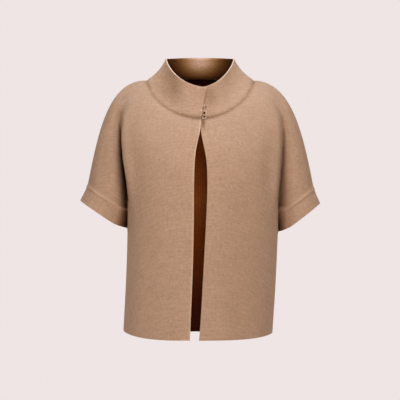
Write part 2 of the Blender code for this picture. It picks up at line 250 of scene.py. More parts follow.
def place_ring_rows(cloth, angle_of, height_of, radius):
    """Round a ring the angle is followed from point to point, so that it never jumps. The
    third number is the share of the ring's height, from 0 at its upper edge to 1."""
    rows = cloth.verts.layers.float_vector.new("rows")
    cloth.verts.ensure_lookup_table()
    start = cloth.verts[0]
    turned = {start: angle_of(start.co)}
    waiting = [start]
    while waiting:
        vert = waiting.pop()
        for edge in vert.link_edges:
            other = edge.other_vert(vert)
            if other not in turned:
                step = angle_of(other.co) - turned[vert]
                turned[other] = turned[vert] + math.remainder(step, math.tau)
                waiting.append(other)
    angles = np.array(list(turned.values()))
    heights = np.array([height_of(vert.co) for vert in turned])
    for vert, angle, height in zip(turned, angles, heights):
        near = heights[np.abs(angles - angle) < SAME_COLUMN]
        share = (height - near.min()) / max(np.ptp(near), WELD)
        vert[rows] = (angle * radius, height, share)


# %% [markdown]
# ### Rounding
# The solids are coarse, and cloth is smooth. Subdivision Surface splits each face into
# four, two or three times over, and smooths the result. It is applied at once, because
# the shapes that follow need the fine points.

# %% Round a sheet


def rounded(cloth, name, levels):
    """The sheet as an object, with Subdivision Surface applied."""
    rough = bpy.data.meshes.new(name + "_rough")
    cloth.to_mesh(rough)
    cloth.free()
    holder = new_piece(name + "_rough", rough)
    rounder = holder.modifiers.new("rounder", "SUBSURF")
    rounder.levels = levels
    rounder.render_levels = levels
    graph = bpy.context.evaluated_depsgraph_get()
    fine = bpy.data.meshes.new_from_object(holder.evaluated_get(graph))
    fine.name = name
    bpy.data.objects.remove(holder)
    fine.shade_smooth()
    return new_piece(name, fine)


# %% [markdown]
# ### Six sheets
# The sheets are the back, the two fronts, the collar and the two cuffs. The back is twice
# as large as a front and hangs plainly, so it needs one level less. The collar and the
# cuffs are rings, one round the neck and the others round the slanting arms.

# %% Make the six sheets
NECK_RADIUS = 0.115
ARM_RADIUS = 0.05
COLLAR_SLANT = 1.2  # the collar is this much longer down its slope than it is tall
ARM_MIDDLE = Vector((0.2325, 0, -0.300))
ACROSS_ARM = Vector((0.81, 0, 0.58))
DOWN_ARM = Vector((0.58, 0, -0.81))


def from_arm(place):
    """How far a point of a cuff is across the arm and down along it. Both arms count as left."""
    off = Vector((abs(place.x), 0, place.z)) - ARM_MIDDLE
    return off.dot(ACROSS_ARM), off.dot(DOWN_ARM)


def around_neck(place):
    return math.atan2(place.x, place.y)


def around_arm(place):
    return math.atan2(place.y, from_arm(place)[0])


Knit = namedtuple("Knit", "node levels outermost")
KNITS = (
    Knit("back", 2, lambda place: place.y),
    Knit("right_front", 3, lambda place: -place.y),
    Knit("left_front", 3, lambda place: -place.y),
    Knit("collar", 3, lambda place: place.xy.length),
    Knit("right_cuff", 3, lambda place: math.hypot(place.y, from_arm(place)[0])),
    Knit("left_cuff", 3, lambda place: math.hypot(place.y, from_arm(place)[0])),
)
sheets = {}
for knit in KNITS:
    cloth = outer_sheet(knit.node, knit.outermost)
    if knit.node == "collar":
        place_ring_rows(cloth, around_neck, lambda place: -COLLAR_SLANT * place.z, NECK_RADIUS)
    elif "cuff" in knit.node:
        place_ring_rows(cloth, around_arm, lambda place: from_arm(place)[1], ARM_RADIUS)
    else:
        place_body_rows(cloth)
    sheets[knit.node] = rounded(cloth, knit.node + "_knit", knit.levels)
    print("rounded:", len(sheets[knit.node].data.polygons), "faces")

# %% [markdown]
# ## The valleys under the arms
# Where the sleeves hang beside the body, the cloth folds into a deep valley. The body's
# side of it is a crisp lip that hides the bottom from the front, and the sleeve comes out
# from behind that lip. Each row tells, at one height, how far out the valley's bottom is,
# how far its lip is pushed out, how far the sleeve is pulled in behind it, and how much
# deeper the bottom gets. Below the armhole, sleeve and body are apart. Little light gets
# in, so the last two numbers say how dark the depth is, and how far out on the sleeve.

# %% Shape the valleys
Valley = namedtuple("Valley", "z bottom lip tuck deepen dark reach")
RIGHT_VALLEY = (
    Valley(-0.070, 0.193, 0.000, 0.000, 0.000, 0.00, 0.008),
    Valley(-0.100, 0.192, 0.004, 0.003, 0.004, 0.15, 0.010),
    Valley(-0.146, 0.192, 0.008, 0.009, 0.010, 0.60, 0.011),
    Valley(-0.194, 0.187, 0.009, 0.009, 0.012, 0.85, 0.014),
    Valley(-0.241, 0.1805, 0.007, 0.007, 0.010, 0.92, 0.016),
    Valley(-0.288, 0.176, 0.003, 0.004, 0.004, 0.95, 0.019),
    Valley(-0.302, 0.174, 0.002, 0.002, 0.000, 0.97, 0.022),
    Valley(-0.325, 0.174, 0.000, 0.000, 0.000, 1.00, 0.034),
    Valley(-0.352, 0.174, 0.000, 0.000, 0.000, 1.00, 0.050),
)
LEFT_VALLEY = (
    Valley(-0.080, 0.197, 0.000, 0.000, 0.000, 0.00, 0.010),
    Valley(-0.111, 0.199, 0.003, 0.003, 0.003, 0.04, 0.014),
    Valley(-0.158, 0.200, 0.004, 0.004, 0.003, 0.06, 0.020),
    Valley(-0.200, 0.1970, 0.004, 0.004, 0.003, 0.10, 0.026),
    Valley(-0.241, 0.1935, 0.004, 0.004, 0.003, 0.16, 0.032),
    Valley(-0.288, 0.190, 0.003, 0.003, 0.003, 0.28, 0.034),
    Valley(-0.302, 0.188, 0.002, 0.002, 0.000, 0.40, 0.032),
    Valley(-0.330, 0.188, 0.000, 0.000, 0.000, 0.62, 0.028),
    Valley(-0.355, 0.188, 0.000, 0.000, 0.000, 1.00, 0.026),
)
LIP_AWAY = 0.017  # from the valley's bottom to its lip
LIP_REACH = 0.009
LIP_FORWARD = 0.3  # how much the lip also comes forward, for each step sideways
TUCK_AWAY = 0.006
TUCK_REACH = 0.010
DEEP_AWAY = 0.004
DEEP_REACH = 0.008
BY_SIDE_SEAM = 0.02  # this near to the side seam the valley runs out


def shape_valley(points, rows, share=1.0):
    x, y, z = points.T
    off = np.abs(x) - column(rows, "bottom", z)
    near = share * ease(np.abs(y) / BY_SIDE_SEAM)
    lip = column(rows, "lip", z) * bump(off + LIP_AWAY, LIP_REACH)
    tuck = column(rows, "tuck", z) * bump(off - TUCK_AWAY, TUCK_REACH)
    deepen = column(rows, "deepen", z) * bump(off - DEEP_AWAY, DEEP_REACH)
    points[:, 0] += np.sign(x) * (lip - tuck) * near
    points[:, 1] += np.sign(y) * (LIP_FORWARD * lip - deepen) * near


# %% [markdown]
# ### The dark in the valleys
# A studio light is too soft to leave these folds as dark as they are, so each point also
# keeps how little light it gets. On the body the dark starts behind the lip and ends a
# little above the cuffs, where the body's side is open. On the sleeve it reaches outwards
# as far as the table says.

# %% Darken the valleys
SLEEVES_END, CUFFS_END = -0.312, -0.365
LIP_Y = -0.070
WALL_DEPTH = 0.045  # from the lip back to where its side wall is quite dark
SLEEVE_START = 0.004  # the sleeve's dark starts this far inside the bottom
BODY_START, BODY_FULL = 0.020, 0.010  # and the body's, from its start until it is full
BODY_FADE_Z, BODY_FADE = -0.286, 0.014  # the height where the body's dark starts to fade
BODY_SIDE = -0.0004  # points further in than this from the bottom are the body's


def dark_in_valley(points, rows, end_z):
    """How little light reaches each point, from 0 on the open cloth to 1."""
    x, y, z = points.T
    off = np.abs(x) - column(rows, "bottom", z)
    on_sleeve = 1 - ease((off + SLEEVE_START) / column(rows, "reach", z))
    lower = ease((BODY_FADE_Z - z) / BODY_FADE)
    on_body = ease((off + BODY_START) / BODY_FULL) * (1 - lower)
    body = (off < BODY_SIDE) & (end_z == SLEEVES_END)
    depth = ease((y - LIP_Y) / WALL_DEPTH) * np.where(body, on_body, on_sleeve)
    return column(rows, "dark", z) * depth * (z > end_z)


# %% [markdown]
# ## Creases
# A soft knit hardly creases, but it isn't smooth either. It is full over the bust, hangs
# in long shallow waves from there, is pulled into short folds below the hook and eye, and
# drags softly from the shoulders towards the underarms. Each row is one trough, or a ridge
# where its depth is negative, that runs straight from its top to its bottom, and is
# deepest at its peak, a share of the way down.

# %% Place the creases
Crease = namedtuple("Crease", "face top_x top_z bottom_x bottom_z width depth peak", defaults=[0.5])
FRONT, BACK = -1, 1
CREASES = (
    # fullness over the bust
    Crease(FRONT, -0.085, -0.115, -0.095, -0.560, 0.075, -0.0095, 0.27),
    Crease(FRONT, 0.088, -0.115, 0.098, -0.560, 0.075, -0.0095, 0.27),
    # the trough beside the left valley, and the ridge outside it
    Crease(FRONT, 0.150, -0.090, 0.164, -0.300, 0.011, 0.0014),
    Crease(FRONT, 0.138, -0.110, 0.146, -0.330, 0.014, -0.0016),
    # beside the right valley
    Crease(FRONT, -0.146, -0.120, -0.150, -0.290, 0.013, 0.0012),
    # long waves down to the hem
    Crease(FRONT, -0.112, -0.270, -0.118, -0.640, 0.020, 0.0022),
    Crease(FRONT, -0.060, -0.300, -0.064, -0.650, 0.018, -0.0016),
    Crease(FRONT, 0.066, -0.280, 0.075, -0.640, 0.021, 0.0020),
    Crease(FRONT, 0.118, -0.300, 0.128, -0.650, 0.019, -0.0020),
    # pulled from the hook and eye
    Crease(FRONT, -0.009, -0.098, -0.014, -0.160, 0.0040, 0.0026),
    Crease(FRONT, -0.018, -0.096, -0.034, -0.160, 0.0050, 0.0018),
    Crease(FRONT, 0.012, -0.096, 0.018, -0.170, 0.0045, 0.0026),
    Crease(FRONT, 0.022, -0.094, 0.038, -0.156, 0.0060, 0.0016),
    # over the sleeves
    Crease(FRONT, -0.222, -0.110, -0.238, -0.300, 0.010, 0.0018),
    Crease(FRONT, 0.232, -0.120, 0.252, -0.300, 0.010, 0.0018),
    # the back
    Crease(BACK, -0.060, -0.060, -0.075, -0.240, 0.050, -0.0045),
    Crease(BACK, 0.065, -0.060, 0.078, -0.240, 0.050, -0.0045),
    Crease(BACK, -0.134, -0.100, -0.146, -0.330, 0.014, 0.0040),
    Crease(BACK, 0.138, -0.110, 0.150, -0.320, 0.015, 0.0040),
    Crease(BACK, -0.040, -0.300, -0.052, -0.640, 0.022, 0.0030),
    Crease(BACK, 0.030, -0.260, 0.034, -0.650, 0.024, 0.0035),
    Crease(BACK, -0.105, -0.320, -0.112, -0.650, 0.020, -0.0025),
    Crease(BACK, 0.102, -0.300, 0.112, -0.640, 0.022, -0.0028),
    Crease(BACK, -0.225, -0.110, -0.240, -0.290, 0.011, 0.0022),
    Crease(BACK, 0.228, -0.110, 0.246, -0.300, 0.011, 0.0020),
)
SEAM_FADE = 0.030  # a crease runs out this near to the side and overarm seams


def shape_creases(points, side):
    x, y, z = points.T
    fade = ease(np.abs(y) / SEAM_FADE)
    for crease in CREASES:
        if crease.face == side:
            down = np.clip((crease.top_z - z) / (crease.top_z - crease.bottom_z), 0, 1)
            off = x - mix(crease.top_x, crease.bottom_x, down)
            along = ease(down / crease.peak) * ease((1 - down) / (1 - crease.peak))
            points[:, 1] -= side * crease.depth * along * bump(off, crease.width) * fade


# %% [markdown]
# ## The inner ends of the sleeves
# Seen from the front, the inner end of each cuff meets the body's side. The solids keep
# them apart, so below the underarm the sleeve is drawn in until it touches. Each row tells
# where the body's side is, how far out on the sleeve the drawing in starts, how far the
# end moves, and how much it rises.

# %% Shape the inner ends
InnerEnd = namedtuple("InnerEnd", "body start shift rise")
RIGHT_END = InnerEnd(0.1745, 0.205, 0.0150, 0.0015)
LEFT_END = InnerEnd(0.1880, 0.215, 0.0105, 0.001)
UNDERARM_Z = -0.302
UNDERARM_BLEND = 0.012
SLEEVE_ONLY = 0.0006  # points further out than this from the body's side are the sleeve's


def shape_inner_end(points, end, end_z):
    x, y, z = points.T
    sleeve = (np.abs(x) > end.body + SLEEVE_ONLY) & (z > end_z)
    near = ease((end.start - np.abs(x)) / (end.start - end.body)) * sleeve
    below = ease((UNDERARM_Z - z) / UNDERARM_BLEND)
    points[:, 0] -= np.sign(x) * end.shift * near * below
    points[:, 2] += end.rise * near**2 * below


# %% [markdown]
# ## Soft shadows
# Some shadows on the front are wider than a fold: beside the lapped end of the collar, in
# the pull under the eye, and on the lower half of the left front. A spot is a soft hill of
# darkness round one place. The sleeves are all a little darker, from the armholes out.

# %% Place the soft shadows
Spot = namedtuple("Spot", "x z width height dark")
LAP_SHADOW = Spot(0.025, -0.046, 0.016, 0.024, 0.24)  # beside the edge of the upper end
PULL_SHADOW = Spot(0.0080, -0.109, 0.0045, 0.0120, 0.60)  # in the fold under the eye
HEM_SHADOW = Spot(0.095, -0.420, 0.055, 0.260, 0.10)  # its lower half leans back a little
SLEEVE_SHADOW = 0.09  # the sleeves are turned away from the light
SLEEVE_X, SLEEVE_BLEND = 0.195, 0.02  # where it starts, and how soon it is full


def spot(points, place):
    x, y, z = points.T
    return place.dark * bump(x - place.x, place.width) * bump(z - place.z, place.height) * (y < 0)


# %% [markdown]
# ## The collar's hollow
# The stand collar is one straight band of knit. Drawn round the neck, it flares out to its
# seam in front and stands upright above, so its middle is hollow, more so on the right,
# which lies in a soft shadow. Its folded upper edge rolls out by a millimetre.

# %% Shape the collar
RIGHT_HOLLOW = 0.0080
LEFT_HOLLOW = 0.0050
RIGHT_DARK = 0.26
HALVES_BLEND = 0.04  # across this width the right hollow becomes the left one
FRONT_BLEND = 0.06  # the hollow grows from the neck's side to this far in front of it
LAP_END, LAP_BLEND = 0.025, 0.05  # the lapped ends lie flat
ROLL, ROLL_SHARE = 0.0010, 0.06


def shares_of(mesh):
    """How far down its ring each point is, from 0 at the ring's upper edge to 1."""
    rows = np.empty(len(mesh.vertices) * 3)
    mesh.attributes["rows"].data.foreach_get("vector", rows)
    return rows.reshape(-1, 3)[:, 2]


def shape_collar(sheet):
    points = points_of(sheet.data)
    share = shares_of(sheet.data)
    x, y, _ = points.T
    depth = mix(RIGHT_HOLLOW, LEFT_HOLLOW, ease(x / HALVES_BLEND + 0.5))
    in_front = ease(-y / FRONT_BLEND) * ease((np.abs(x) - LAP_END) / LAP_BLEND)
    hollow = depth * np.sin(np.pi * share) * in_front
    roll = ROLL * bump(share, ROLL_SHARE)
    dark = RIGHT_DARK * np.sin(np.pi * share) * in_front * (x < 0)
    keep(sheet.data, "dark", dark + spot(points, LAP_SHADOW))
    put_points(sheet.data, points + normals_of(sheet.data) * (roll - hollow)[:, None])


# %% [markdown]
# ## Shaping the cloth
# Now every sheet gets its shapes. The collar has its own. The others are shaped in halves,
# because the two valleys differ. The back gets half as deep a valley as the fronts and
# keeps no dark, and the cuffs get no creases.

# %% Apply the shapes
BACK_SHARE = 0.5

for node, sheet in sheets.items():
    if node == "collar":
        shape_collar(sheet)
        continue
    points = points_of(sheet.data)
    dark = np.zeros(len(points))
    end_z = CUFFS_END if "cuff" in node else SLEEVES_END
    halves = (
        (points[:, 0] < 0, RIGHT_VALLEY, RIGHT_END),
        (points[:, 0] >= 0, LEFT_VALLEY, LEFT_END),
    )
    for half, valley, end in halves:
        part = points[half]
        shape_valley(part, valley, BACK_SHARE if node == "back" else 1.0)
        shape_inner_end(part, end, end_z)
        if node != "back":
            dark[half] = dark_in_valley(part, valley, end_z)
        points[half] = part
    if node == "left_front":
        for shadow in (PULL_SHADOW, HEM_SHADOW):
            dark = np.maximum(dark, spot(points, shadow))
    if node != "back":
        out = ease((np.abs(points[:, 0]) - SLEEVE_X) / SLEEVE_BLEND)
        dark = np.maximum(dark, SLEEVE_SHADOW * out)
    keep(sheet.data, "dark", dark)
    if "cuff" not in node:
        shape_creases(points, BACK if node == "back" else FRONT)
    put_points(sheet.data, points)
    print(node, "points:", len(points))

# %% [markdown]
# ## Seams
# The pieces are linked edge to edge, without an overlap. Where the border of one sheet
# lies within a few millimetres of another sheet, there is a seam, and both borders are
# moved to the middle between them. The cloth beside a border moves along with it. Each
# row is a kind of seam, told by a word in the name of a piece, and all others are side
# seams. It says how far apart the two borders may be, how deep the seam's groove is, or
# how high its welt where that is negative, and how wide.

# %% Close the seams
LOCK = 0.00010  # the borders pass each other by this much, so that no light comes through
SPREAD = 0.008  # this near to a border the cloth moves along with it, or it would fold over


def tree_of(sheet):
    mesh = sheet.data
    points = [Vector(point) for point in points_of(mesh)]
    return BVHTree.FromPolygons(points, [tuple(face.vertices) for face in mesh.polygons])


def border_of(mesh):
    """The indices of the points along a sheet's free edges."""
    edges = bmesh.new()
    edges.from_mesh(mesh)
    border = [vert.index for vert in edges.verts if vert.is_boundary]
    edges.free()
    return border


Seam = namedtuple("Seam", "word reach depth width")
SEAMS = (
    Seam("collar", 0.0015, 0.0017, 0.0050),
    Seam("cuff", 0.0050, -0.0013, 0.0040),
    Seam("side", 0.0015, 0.0006, 0.0024),
)


def seam_kind(*nodes):
    for seam in SEAMS:
        if any(seam.word in node for node in nodes):
            return seam
    return SEAMS[-1]


def tree_of_points(places):
    tree = KDTree(len(places))
    for index, place in enumerate(places):
        tree.insert(place, index)
    tree.balance()
    return tree


def close_seams():
    """Brings the borders together, and returns the points of each kind of seam."""
    trees = {node: tree_of(sheet) for node, sheet in sheets.items()}
    seam_points = {seam: [] for seam in SEAMS}
    for node, sheet in sheets.items():
        points = points_of(sheet.data)
        border = [Vector(points[index]) for index in border_of(sheet.data)]
        moves = np.zeros((len(border), 3))
        for number, here in enumerate(border):
            for other, tree in trees.items():
                if other == node:
                    continue
                seam = seam_kind(node, other)
                there = tree.find_nearest(here, seam.reach)[0]
                if there:
                    across = there - here
                    moves[number] = across / 2 + across.normalized() * LOCK
                    seam_points[seam].append(here + across / 2)
        nearest = tree_of_points(border)
        found = [nearest.find(point) for point in points]
        fade = 1 - ease(np.array([distance for _, _, distance in found]) / SPREAD)
        points += moves[[number for _, number, _ in found]] * fade[:, None]
        put_points(sheet.data, points)
    return seam_points


seam_points = close_seams()
for seam, found in seam_points.items():
    print(seam.word, "seam points:", len(found))

# %% [markdown]
# ### Grooves and welts
# The collar sits in a soft groove, the cuffs are linked on with a raised welt, and the
# side seams are fine lines. How near each point is to a seam is kept as well, because the
# materials paint shade into a groove and a highlight onto a welt. The two sides of a seam
# don't move quite alike, so the seams are closed once more at the end.

# %% Shape the seams
# painted shade in the collar's groove, darkest below the lap
GROOVE_SHADE = 0.85
LAP_SHADE, LAP_WIDTH = 0.9, 0.05  # the groove is darkest below the lap

for node, sheet in sheets.items():
    points = points_of(sheet.data)
    normals = normals_of(sheet.data)
    for seam, found in seam_points.items():
        tree = tree_of_points(found)
        distance = np.array([tree.find(point)[2] for point in points])
        strength = bump(distance, seam.width)
        points -= normals * (seam.depth * strength)[:, None]
        if seam.word == "collar":
            lap = bump(points[:, 0], LAP_WIDTH) * (points[:, 1] < 0)
            strength = strength * (GROOVE_SHADE + LAP_SHADE * lap)
        # painted shade along the grooves, and a painted highlight along the cuffs' welts
        keep(sheet.data, seam.word + "_seam", strength)
    put_points(sheet.data, points)
    print(node, "shaped at its seams")
close_seams()

# %% [markdown]
# ## Rims
# The upper edge of the collar and the edge of the right front are folded and pressed, and
# their rolled edges catch the light. How near each point is to such an edge is kept in an
# attribute, for the material to paint a highlight there.

# %% Find the rims
RIM = 0.0026
TOP_SHARE = 0.10
FREE_EDGE_X = 0.045
FREE_EDGE_LOW, FREE_EDGE_HIGH = -0.62, -0.10

for node in ("collar", "right_front"):
    mesh = sheets[node].data
    points = points_of(mesh)
    x, _, z = points.T
    if node == "collar":
        on_rim = shares_of(mesh) < TOP_SHARE
    else:
        on_rim = (np.abs(x) < FREE_EDGE_X) & (z > FREE_EDGE_LOW) & (z < FREE_EDGE_HIGH)
    rims = [Vector(points[index]) for index in border_of(mesh) if on_rim[index]]
    tree = tree_of_points(rims)
    distance = np.array([tree.find(point)[2] for point in points])
    # painted highlight: the material lightens the cloth near these rims
    keep(mesh, "rim", bump(distance, RIM))
    print(node, "rim points:", len(rims))

# %% [markdown]
# ## Thickness
# Solidify turns each sheet back into a wall of knit, inwards, and gives its inner face and
# its cut edge their own materials. Bevel rounds the edge, which catches the light at the
# collar, the fronts, the cuffs and the hem.

# %% Thicken the cloth
WALL = 0.0024
EDGE_ROLL = 0.0008
EDGE_ANGLE = math.radians(50)
Cut = namedtuple("Cut", "width length area")
for node, sheet in sheets.items():
    wall = sheet.modifiers.new("wall", "SOLIDIFY")
    wall.thickness = WALL
    wall.offset = -1
    wall.material_offset = 1
    wall.material_offset_rim = 2
    roll = sheet.modifiers.new("rolled_edge", "BEVEL")
    roll.width = EDGE_ROLL
    roll.segments = 2
    roll.limit_method = "ANGLE"
    roll.angle_limit = EDGE_ANGLE
    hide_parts(node)
    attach(sheet, "root")

# %% [markdown]
# ## The knit
# A material is a graph of nodes. Short helpers make it readable: `add` makes a node and
# sets or links its inputs, `calc` does one step of arithmetic, `vector_calc` does one on
# all three numbers of a place or a colour, `attribute` reads what a point keeps, `climb`
# goes from one value to another over a range, and `parts` splits up a point's place.

# %% Node helpers


def add(tree, kind, inputs=(), **settings):
    node = tree.nodes.new(kind)
    for name, value in settings.items():
        setattr(node, name, value)
    for name, value in dict(inputs).items():
        if isinstance(value, bpy.types.NodeSocket):
            tree.links.new(value, node.inputs[name])
        else:
            node.inputs[name].default_value = value
    return node


def calc(tree, operation, *values):
    return add(tree, "ShaderNodeMath", dict(enumerate(values)), operation=operation).outputs[0]


def vector_calc(tree, operation, first, second):
    inputs = {0: first, 1: second}
    return add(tree, "ShaderNodeVectorMath", inputs, operation=operation).outputs[0]


def attribute(tree, name):
    return add(tree, "ShaderNodeAttribute", attribute_name=name).outputs


def climb(tree, value, start, end, low, high):
    """Goes from low to high while the value goes from start to end, and stays level outside."""
    inputs = {"Value": value, "From Min": start, "From Max": end, "To Min": low, "To Max": high}
    return add(tree, "ShaderNodeMapRange", inputs).outputs[0]


def place_of(tree):
    return add(tree, "ShaderNodeTexCoord").outputs["Object"]


def parts(tree, vector):
    return add(tree, "ShaderNodeSeparateXYZ", {0: vector}).outputs


def new_material(name, colour, roughness, shine=None):
    made = bpy.data.materials.new(name)
    made.use_nodes = True
    shader = made.node_tree.nodes["Principled BSDF"]
    shader.inputs["Base Color"].default_value = (*colour, 1)
    shader.inputs["Roughness"].default_value = roughness
    if shine is not None:
        shader.inputs["Specular IOR Level"].default_value = shine
    return made, shader


def raise_surface(tree, shader, height, distance):
    bumped = add(tree, "ShaderNodeBump", {"Height": height, "Distance": distance})
    tree.links.new(bumped.outputs[0], shader.inputs["Normal"])


# %% [markdown]
# ### Yarn colour
# The yarn is a melange: camel, spun from lighter and darker hair. Its shade wanders at four
# scales: from stitch to stitch, in short streaks along the rows, in fainter ones up the
# columns, and in soft clouds as wide as a hand. The first two numbers of a grain are its
# length along the rows and up the columns.

# %% Shade of the yarn
Grain = namedtuple("Grain", "name along up strength")
GRAINS = (
    Grain("stitches", 0.0066, 0.0050, 0.42),
    Grain("row_streaks", 0.036, 0.0048, 0.25),
    Grain("column_streaks", 0.0055, 0.028, 0.15),
    Grain("clouds", 0.060, 0.050, 0.12),
)
APART = (7.3, 3.1)  # how far each grain's noise is from the last one's


def rows_of(tree):
    """The place in the knit, without the share of a ring's height."""
    return vector_calc(tree, "MULTIPLY", attribute(tree, "rows")["Vector"], (1, 1, 0))


def shade(tree, rows):
    """A factor that wanders about 1."""
    total = 1.0
    for number, grain in enumerate(GRAINS):
        sized = vector_calc(tree, "MULTIPLY", rows, (1 / grain.along, 1 / grain.up, 1))
        moved = vector_calc(tree, "ADD", sized, (APART[0] * number, APART[1], 0))
        noise = add(tree, "ShaderNodeTexNoise", {"Vector": moved, "Scale": 1.0, "Detail": 1.5})
        wander = calc(tree, "SUBTRACT", noise.outputs[0], 0.5)
        total = calc(tree, "ADD", calc(tree, "MULTIPLY", wander, grain.strength), total)
    return total


# %% [markdown]
# ### Stitches
# A plain knit shows columns of V-shaped stitches. Each column has two ridges, the legs of
# its stitches, and both slant down to its middle. A fraction of the place along the rows
# finds the column, a sine makes its ridges, and a second sine parts them into stitches.
# The cloth has been fulled, so a hairy nap blurs them.

# %% Height of the stitches
COLUMN = 0.0023
ROW = 0.0017
LEG_SLANT = 0.7  # how many rows a leg rises
YARN_SHARE, NAP_SHARE = 0.6, 0.9  # how much each adds to the height
NAP_SCALE = 1300.0


def stitches(tree, rows):
    """The height of the knit's face: the yarn's loops, and the nap over them."""
    place = parts(tree, rows)
    column_place = calc(tree, "FRACT", calc(tree, "DIVIDE", place["X"], COLUMN))
    across = calc(tree, "ABSOLUTE", calc(tree, "MULTIPLY_ADD", column_place, 2.0, -1.0))
    leg = calc(tree, "SINE", calc(tree, "MULTIPLY", across, math.pi))
    slant = calc(tree, "MULTIPLY", across, LEG_SLANT)
    turn = calc(tree, "ADD", calc(tree, "DIVIDE", place["Y"], ROW), slant)
    loop = calc(tree, "ABSOLUTE", calc(tree, "SINE", calc(tree, "MULTIPLY", turn, math.pi)))
    nap = add(tree, "ShaderNodeTexNoise", {"Vector": rows, "Scale": NAP_SCALE, "Detail": 3.0})
    yarn = calc(tree, "MULTIPLY", calc(tree, "MULTIPLY", leg, loop), YARN_SHARE)
    return calc(tree, "ADD", yarn, calc(tree, "MULTIPLY", nap.outputs[0], NAP_SHARE))


# %% [markdown]
# ### From light to dark
# One factor holds all that makes the cloth lighter or darker: the yarn's own shade, the
# painted shade of the seams' grooves, the painted highlights of the welts and rims, the
# painted dark that each point keeps and, on the inner faces, a painted shadow. Deep in a
# fold light bounces from wool to wool and turns redder, so the factor is raised to a
# higher power for green and for blue before it multiplies the colour.

# %% Dye and shade a knit
BUMP = 0.00035  # the height of the stitches, in metres
Mark = namedtuple("Mark", "name strength")
# painted shade in the grooves of the collar and the side seams, and painted highlights on the
# cuffs' welts and the rims
MARKS = (
    Mark("collar_seam", -0.28),
    Mark("cuff_seam", 0.12),
    Mark("side_seam", -0.08),
    Mark("rim", 0.36),
)
DARKEST = 0.06  # what is left of the light where a fold is deepest
ROUGH = 0.95  # wool has no gloss
KNIT_SHINE = 0.15
OUTER_DEPTH = (1.0, 1.20, 1.45)  # in shadow red lasts longest, and blue goes first
INNER_DEPTH = (1.0, 1.35, 2.10)


def new_knit(name, colour, shadow=None, shaded_in_seams=False):
    """A knit material. Grooves and folds get painted shade, and the welts of the cuffs a
    painted highlight. The inner faces also have a shadow, a function that makes their factor
    of painted shade, and the cut edges get painted shade where they are sewn."""
    made, shader = new_material(name, colour, ROUGH, shine=KNIT_SHINE)
    tree = made.node_tree
    rows = rows_of(tree)
    factor = shade(tree, rows)
    seams = 0.0
    for mark in MARKS:
        here = attribute(tree, mark.name)["Fac"]
        factor = calc(tree, "ADD", calc(tree, "MULTIPLY", here, mark.strength), factor)
        if "seam" in mark.name:
            seams = calc(tree, "MAXIMUM", here, seams)
    dark = attribute(tree, "dark")["Fac"]
    if shaded_in_seams:
        dark = calc(tree, "MAXIMUM", dark, seams)
    factor = calc(tree, "MULTIPLY", factor, calc(tree, "MULTIPLY_ADD", dark, DARKEST - 1, 1.0))
    if shadow:
        factor = calc(tree, "MULTIPLY", factor, shadow(tree))
    powers = INNER_DEPTH if shadow else OUTER_DEPTH
    light = [calc(tree, "POWER", factor, power) for power in powers]
    light = add(tree, "ShaderNodeCombineXYZ", dict(enumerate(light))).outputs[0]
    # the yarn's colour, with painted shade and painted highlights
    dyed_and_shaded = vector_calc(tree, "MULTIPLY", colour, light)
    tree.links.new(dyed_and_shaded, shader.inputs["Base Color"])
    raise_surface(tree, shader, stitches(tree, rows), BUMP)
    print(name, "nodes:", len(tree.nodes))
    return made


# %% [markdown]
# ### Shadows inside
# The inside of the body gets its light through the open front, so it is brightest at
# elbow height and darkest at the hem and under the collar. The table gives its light at
# each height. Inside the collar only the middle of its back, and its upper edge, get much
# light from above.

# %% Shade the insides
Stop = namedtuple("Stop", "z light")
INSIDE_LIGHT = (
    Stop(-0.62, 0.13),
    Stop(-0.54, 0.22),
    Stop(-0.42, 0.80),
    Stop(-0.29, 1.90),
    Stop(-0.17, 0.72),
    Stop(-0.06, 0.35),
    Stop(0.0, 0.10),
)
NECK_LIT_WIDTH = 0.040
NECK_LIT, NECK_SIDES = 1.35, 0.15
NECK_LOW, NECK_HIGH = 0.012, 0.045  # the heights between which the light grows
NECK_LEAST = 0.16


def inside_shadow(tree):
    """The light at each height inside the body, added up from step to step of the table."""
    height = parts(tree, place_of(tree))["Z"]
    total = 0.0
    for lower, upper in zip(INSIDE_LIGHT, INSIDE_LIGHT[1:]):
        step = climb(tree, height, lower.z, upper.z, 0.0, upper.light - lower.light)
        total = calc(tree, "ADD", step, total)
    return calc(tree, "ADD", total, INSIDE_LIGHT[0].light)


def neck_shadow(tree):
    """A soft hill of light at the middle of the collar's back, which fades downwards."""
    place = parts(tree, place_of(tree))
    across = calc(tree, "POWER", calc(tree, "DIVIDE", place["X"], NECK_LIT_WIDTH), 2.0)
    middle = calc(tree, "EXPONENT", calc(tree, "MULTIPLY", across, -1.0))
    up = climb(tree, place["Z"], NECK_LOW, NECK_HIGH, NECK_LEAST, 1.0)
    return calc(tree, "MULTIPLY", calc(tree, "MULTIPLY_ADD", middle, NECK_LIT, NECK_SIDES), up)


# %% [markdown]
# ### Four knits
# The face of the cloth is camel. Its inner side is painted a deeper, redder brown as
# painted shade, the inside of the collar is painted between the two, also as painted
# shade, and the cut edges are painted paler as a painted highlight. Each sheet has three
# of them, in the order in which Solidify hands them out: outer face, inner face and edge.

# %% Dress the sheets
CAMEL = (0.492, 0.298, 0.186)
# painted shade: the body's inner faces get this dark red brown for the shadow they lie in
SHADED_RED_BROWN = (0.30, 0.062, 0.0062)
# painted shade: the collar's inside is a darker, warmer camel for its shadow
SHADED_CAMEL = (0.46, 0.24, 0.12)
# painted highlight: the cut edges are this paler camel for the light they catch
HIGHLIGHT_CAMEL = (0.66, 0.45, 0.32)

